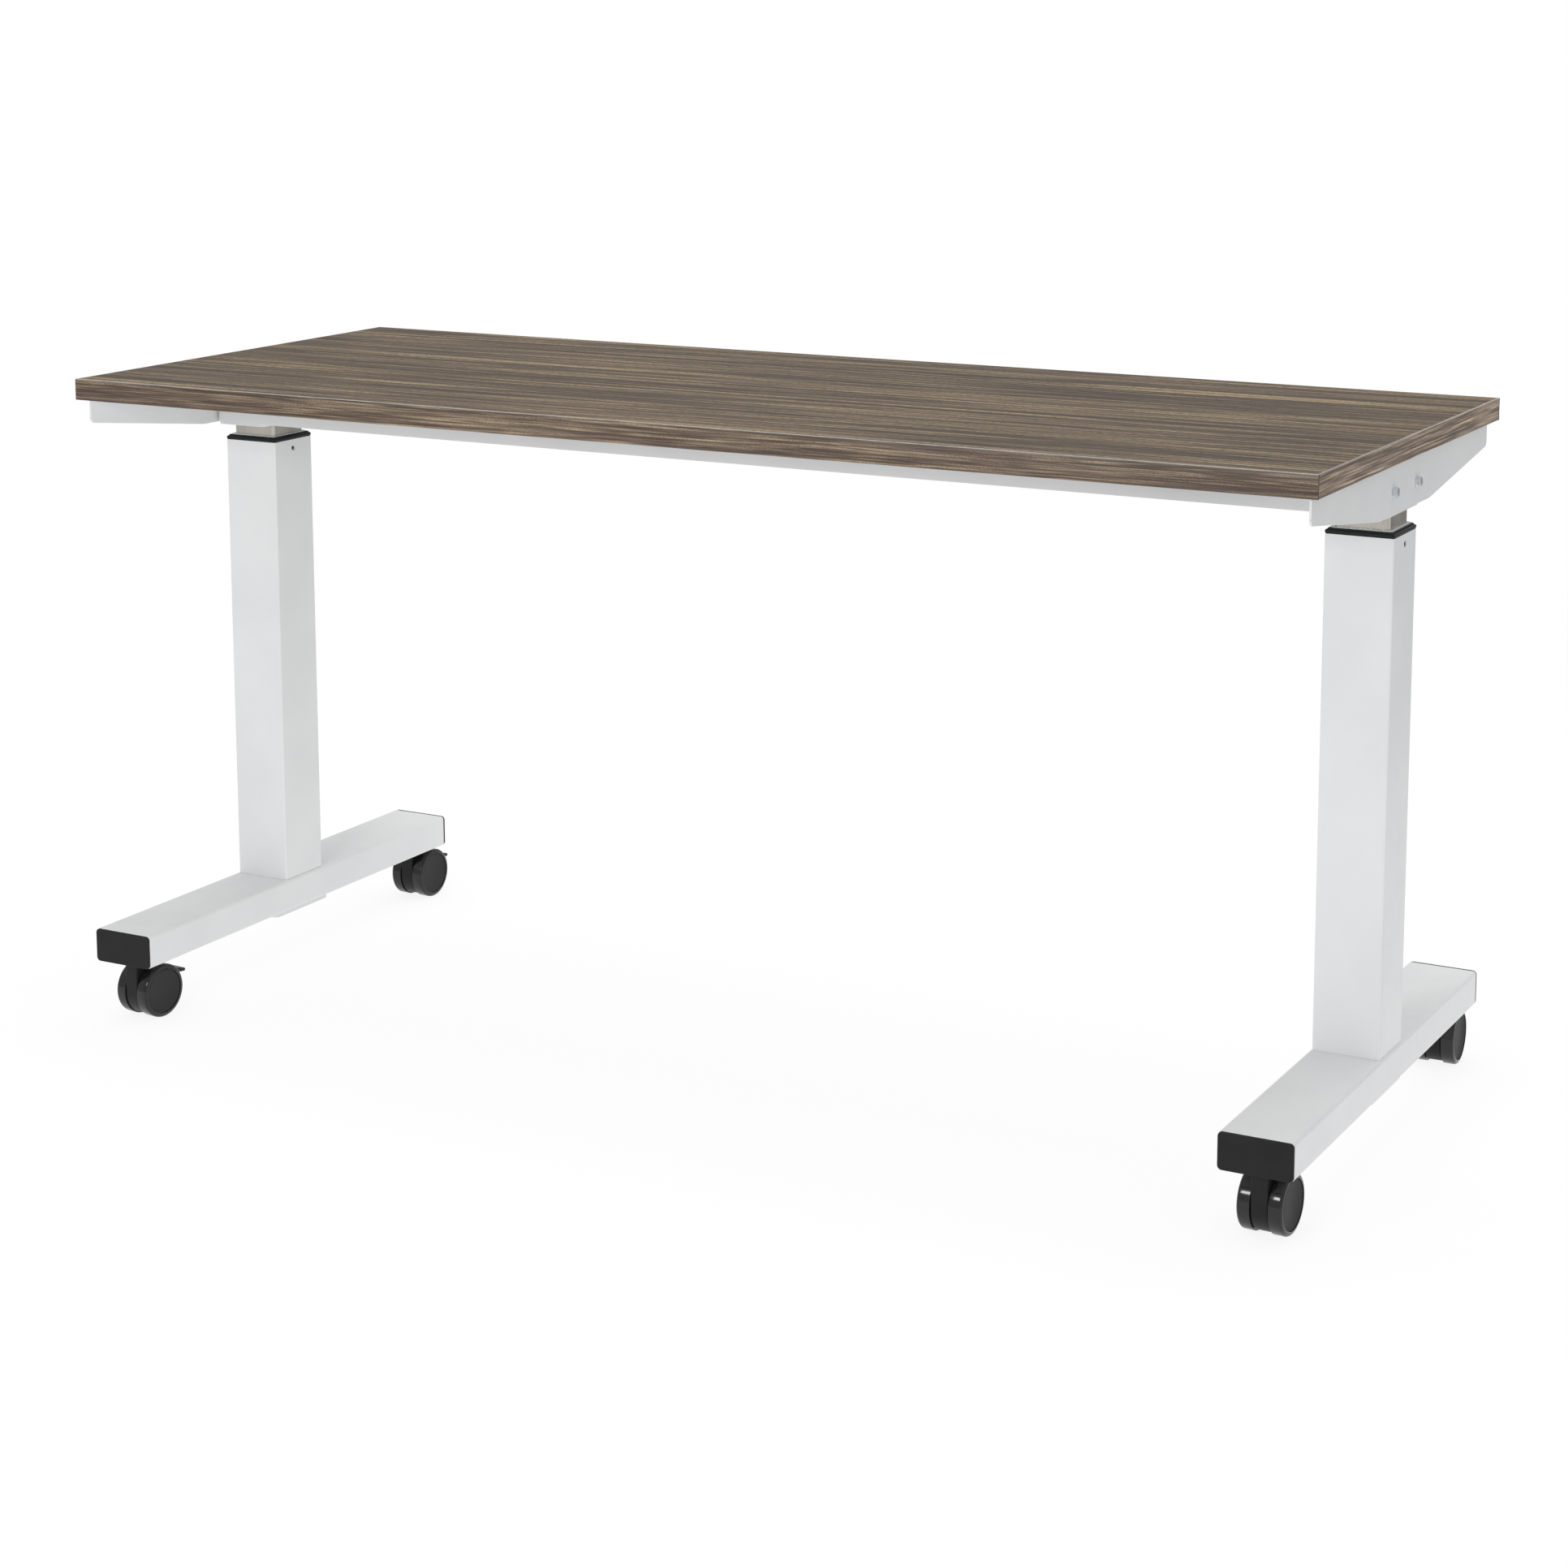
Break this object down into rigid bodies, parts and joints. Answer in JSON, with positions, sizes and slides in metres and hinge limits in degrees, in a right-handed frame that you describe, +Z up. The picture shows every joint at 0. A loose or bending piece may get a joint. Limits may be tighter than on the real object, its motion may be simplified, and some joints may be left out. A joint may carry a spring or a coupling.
{
  "type": "overbed table",
  "caption": "Wheeled height-adjustable overbed table: walnut laminate top on telescopic steel columns with T feet and braked casters.",
  "frame": {"origin": "on the floor, at the middle of the table's whole outline seen from above", "axes": "+X to the right along the tabletop, +Y from the front edge to the back edge, +Z up"},
  "size_m": [1.524, 0.6675, 0.779],
  "materials": {
    "white_powder_coat": "satin",
    "black_moulding": "fine matt texture",
    "bright_tube": "bright drawn",
    "plain_steel": "turned",
    "zinc_plate": "bright zinc",
    "grey_nylon": "smooth",
    "black_enamel": "gloss",
    "belt_rubber": "matt",
    "black_nylon": "smooth",
    "cable_sheath": "smooth",
    "laminate_top": "matt walnut laminate",
    "edge_banding": "matt walnut banding",
    "caster_body_plastic": "moulded",
    "caster_wheel": "semi-gloss"
  },
  "bodies": {
    "base": {"foot_left": "white_powder_coat", "foot_right": "white_powder_coat", "foot_caps": "black_moulding", "foot_plates": "white_powder_coat", "caster_sockets": "plain_steel", "outer_tube_left": "white_powder_coat", "outer_tube_right": "white_powder_coat", "collar_left": "black_moulding", "collar_right": "black_moulding", "upper_glides": "grey_nylon", "gas_cylinders": "black_enamel", "belt_posts": "plain_steel", "base_screws": "zinc_plate"},
    "lift": {"tabletop": "laminate_top", "edge_band": "edge_banding", "arm_left": "white_powder_coat", "arm_right": "white_powder_coat", "rail_front": "white_powder_coat", "rail_back": "white_powder_coat", "head_bracket_left": "white_powder_coat", "head_bracket_right": "white_powder_coat", "inner_tube_left": "bright_tube", "inner_tube_right": "bright_tube", "lower_glides": "grey_nylon", "gas_rods": "plain_steel", "sync_belts": "belt_rubber", "shaft_bearings": "black_nylon", "idler_pins": "plain_steel", "handle_guide": "plain_steel", "release_cables": "cable_sheath", "release_heads": "black_nylon", "arm_bolts": "zinc_plate", "top_screws": "zinc_plate"},
    "cross_shaft": {"sync_shaft": "plain_steel", "sync_pulleys": "black_nylon"},
    "idler_wheel_left": {"idler_left": "black_nylon"},
    "idler_wheel_right": {"idler_right": "black_nylon"},
    "pull_handle": {"release_handle": "black_nylon"},
    "valve_left": {"valve_pin_left": "plain_steel"},
    "valve_right": {"valve_pin_right": "plain_steel"},
    "caster_fl": {"caster_body_fl": "caster_body_plastic", "caster_pins_fl": "plain_steel"},
    "caster_fl_wheel_left": {"wheel_fl_left": "caster_wheel"},
    "caster_fl_wheel_right": {"wheel_fl_right": "caster_wheel"},
    "caster_fl_pedal": {"brake_pedal_fl": "caster_body_plastic"},
    "caster_fr": {"caster_body_fr": "caster_body_plastic", "caster_pins_fr": "plain_steel"},
    "caster_fr_wheel_left": {"wheel_fr_left": "caster_wheel"},
    "caster_fr_wheel_right": {"wheel_fr_right": "caster_wheel"},
    "caster_fr_pedal": {"brake_pedal_fr": "caster_body_plastic"},
    "caster_bl": {"caster_body_bl": "caster_body_plastic", "caster_pins_bl": "plain_steel"},
    "caster_bl_wheel_left": {"wheel_bl_left": "caster_wheel"},
    "caster_bl_wheel_right": {"wheel_bl_right": "caster_wheel"},
    "caster_bl_pedal": {"brake_pedal_bl": "caster_body_plastic"},
    "caster_br": {"caster_body_br": "caster_body_plastic", "caster_pins_br": "plain_steel"},
    "caster_br_wheel_left": {"wheel_br_left": "caster_wheel"},
    "caster_br_wheel_right": {"wheel_br_right": "caster_wheel"},
    "caster_br_pedal": {"brake_pedal_br": "caster_body_plastic"}
  },
  "joints": [
    {"name": "height_lift", "type": "slide", "parent": "base", "child": "lift", "axis": [0, 0, 1], "range_m": [0, 0.4]},
    {"name": "cross_shaft_turn", "type": "hinge", "parent": "lift", "child": "cross_shaft", "pos_m": [0, -0.0365, 0.722], "axis": [-1, 0, 0], "range_deg": [0, 2292]},
    {"name": "idler_left_turn", "type": "hinge", "parent": "lift", "child": "idler_wheel_left", "pos_m": [-0.716, -0.0365, 0.165], "axis": [-1, 0, 0], "range_deg": [0, 2292]},
    {"name": "idler_right_turn", "type": "hinge", "parent": "lift", "child": "idler_wheel_right", "pos_m": [0.716, -0.0365, 0.165], "axis": [-1, 0, 0], "range_deg": [0, 2292]},
    {"name": "handle_pull", "type": "slide", "parent": "lift", "child": "pull_handle", "axis": [0, -1, 0], "range_m": [0, 0.012], "stiffness_N_per_m": 400},
    {"name": "valve_left_press", "type": "slide", "parent": "lift", "child": "valve_left", "axis": [0, 0, -1], "range_m": [0, 0.002]},
    {"name": "valve_right_press", "type": "slide", "parent": "lift", "child": "valve_right", "axis": [0, 0, -1], "range_m": [0, 0.002]},
    {"name": "caster_fl_swivel", "type": "hinge", "parent": "base", "child": "caster_fl", "pos_m": [-0.716, -0.3085, 0.073], "axis": [0, 0, 1], "continuous": true},
    {"name": "wheel_fl_left_spin", "type": "hinge", "parent": "caster_fl", "child": "caster_fl_wheel_left", "pos_m": [-0.71421, -0.28758, 0.0325], "axis": [0.9963, -0.0854, 0], "continuous": true},
    {"name": "wheel_fl_right_spin", "type": "hinge", "parent": "caster_fl", "child": "caster_fl_wheel_right", "pos_m": [-0.71421, -0.28758, 0.0325], "axis": [0.9963, -0.0854, 0], "continuous": true},
    {"name": "pedal_fl_press", "type": "hinge", "parent": "caster_fl", "child": "caster_fl_pedal", "pos_m": [-0.7131, -0.27462, 0.0525], "axis": [-0.9963, 0.0854, 0], "range_deg": [0, 14]},
    {"name": "caster_fr_swivel", "type": "hinge", "parent": "base", "child": "caster_fr", "pos_m": [0.716, -0.3085, 0.073], "axis": [0, 0, 1], "continuous": true},
    {"name": "wheel_fr_left_spin", "type": "hinge", "parent": "caster_fr", "child": "caster_fr_wheel_left", "pos_m": [0.71677, -0.28751, 0.0325], "axis": [0.9993, -0.0366, 0], "continuous": true},
    {"name": "wheel_fr_right_spin", "type": "hinge", "parent": "caster_fr", "child": "caster_fr_wheel_right", "pos_m": [0.71677, -0.28751, 0.0325], "axis": [0.9993, -0.0366, 0], "continuous": true},
    {"name": "pedal_fr_press", "type": "hinge", "parent": "caster_fr", "child": "caster_fr_pedal", "pos_m": [0.71725, -0.27452, 0.0525], "axis": [-0.9993, 0.0366, 0], "range_deg": [0, 14]},
    {"name": "caster_bl_swivel", "type": "hinge", "parent": "base", "child": "caster_bl", "pos_m": [-0.716, 0.2635, 0.073], "axis": [0, 0, 1], "continuous": true},
    {"name": "wheel_bl_left_spin", "type": "hinge", "parent": "caster_bl", "child": "caster_bl_wheel_left", "pos_m": [-0.71582, 0.2845, 0.0325], "axis": [1, -0.0087, 0], "continuous": true},
    {"name": "wheel_bl_right_spin", "type": "hinge", "parent": "caster_bl", "child": "caster_bl_wheel_right", "pos_m": [-0.71582, 0.2845, 0.0325], "axis": [1, -0.0087, 0], "continuous": true},
    {"name": "pedal_bl_press", "type": "hinge", "parent": "caster_bl", "child": "caster_bl_pedal", "pos_m": [-0.7157, 0.2975, 0.0525], "axis": [-1, 0.0087, 0], "range_deg": [0, 14]},
    {"name": "caster_br_swivel", "type": "hinge", "parent": "base", "child": "caster_br", "pos_m": [0.716, 0.2635, 0.073], "axis": [0, 0, 1], "continuous": true},
    {"name": "wheel_br_left_spin", "type": "hinge", "parent": "caster_br", "child": "caster_br_wheel_left", "pos_m": [0.71501, 0.28448, 0.0325], "axis": [0.9989, 0.0471, 0], "continuous": true},
    {"name": "wheel_br_right_spin", "type": "hinge", "parent": "caster_br", "child": "caster_br_wheel_right", "pos_m": [0.71501, 0.28448, 0.0325], "axis": [0.9989, 0.0471, 0], "continuous": true},
    {"name": "pedal_br_press", "type": "hinge", "parent": "caster_br", "child": "caster_br_pedal", "pos_m": [0.7144, 0.29746, 0.0525], "axis": [-0.9989, -0.0471, 0], "range_deg": [0, 14]}
  ],
  "couplings": [
    {"joint": "cross_shaft_turn", "follows": "height_lift", "rad_per_m": 100},
    {"joint": "idler_left_turn", "follows": "height_lift", "rad_per_m": 100},
    {"joint": "idler_right_turn", "follows": "height_lift", "rad_per_m": 100},
    {"joint": "valve_left_press", "follows": "handle_pull", "ratio": 0.1666},
    {"joint": "valve_right_press", "follows": "handle_pull", "ratio": 0.1666}
  ]
}
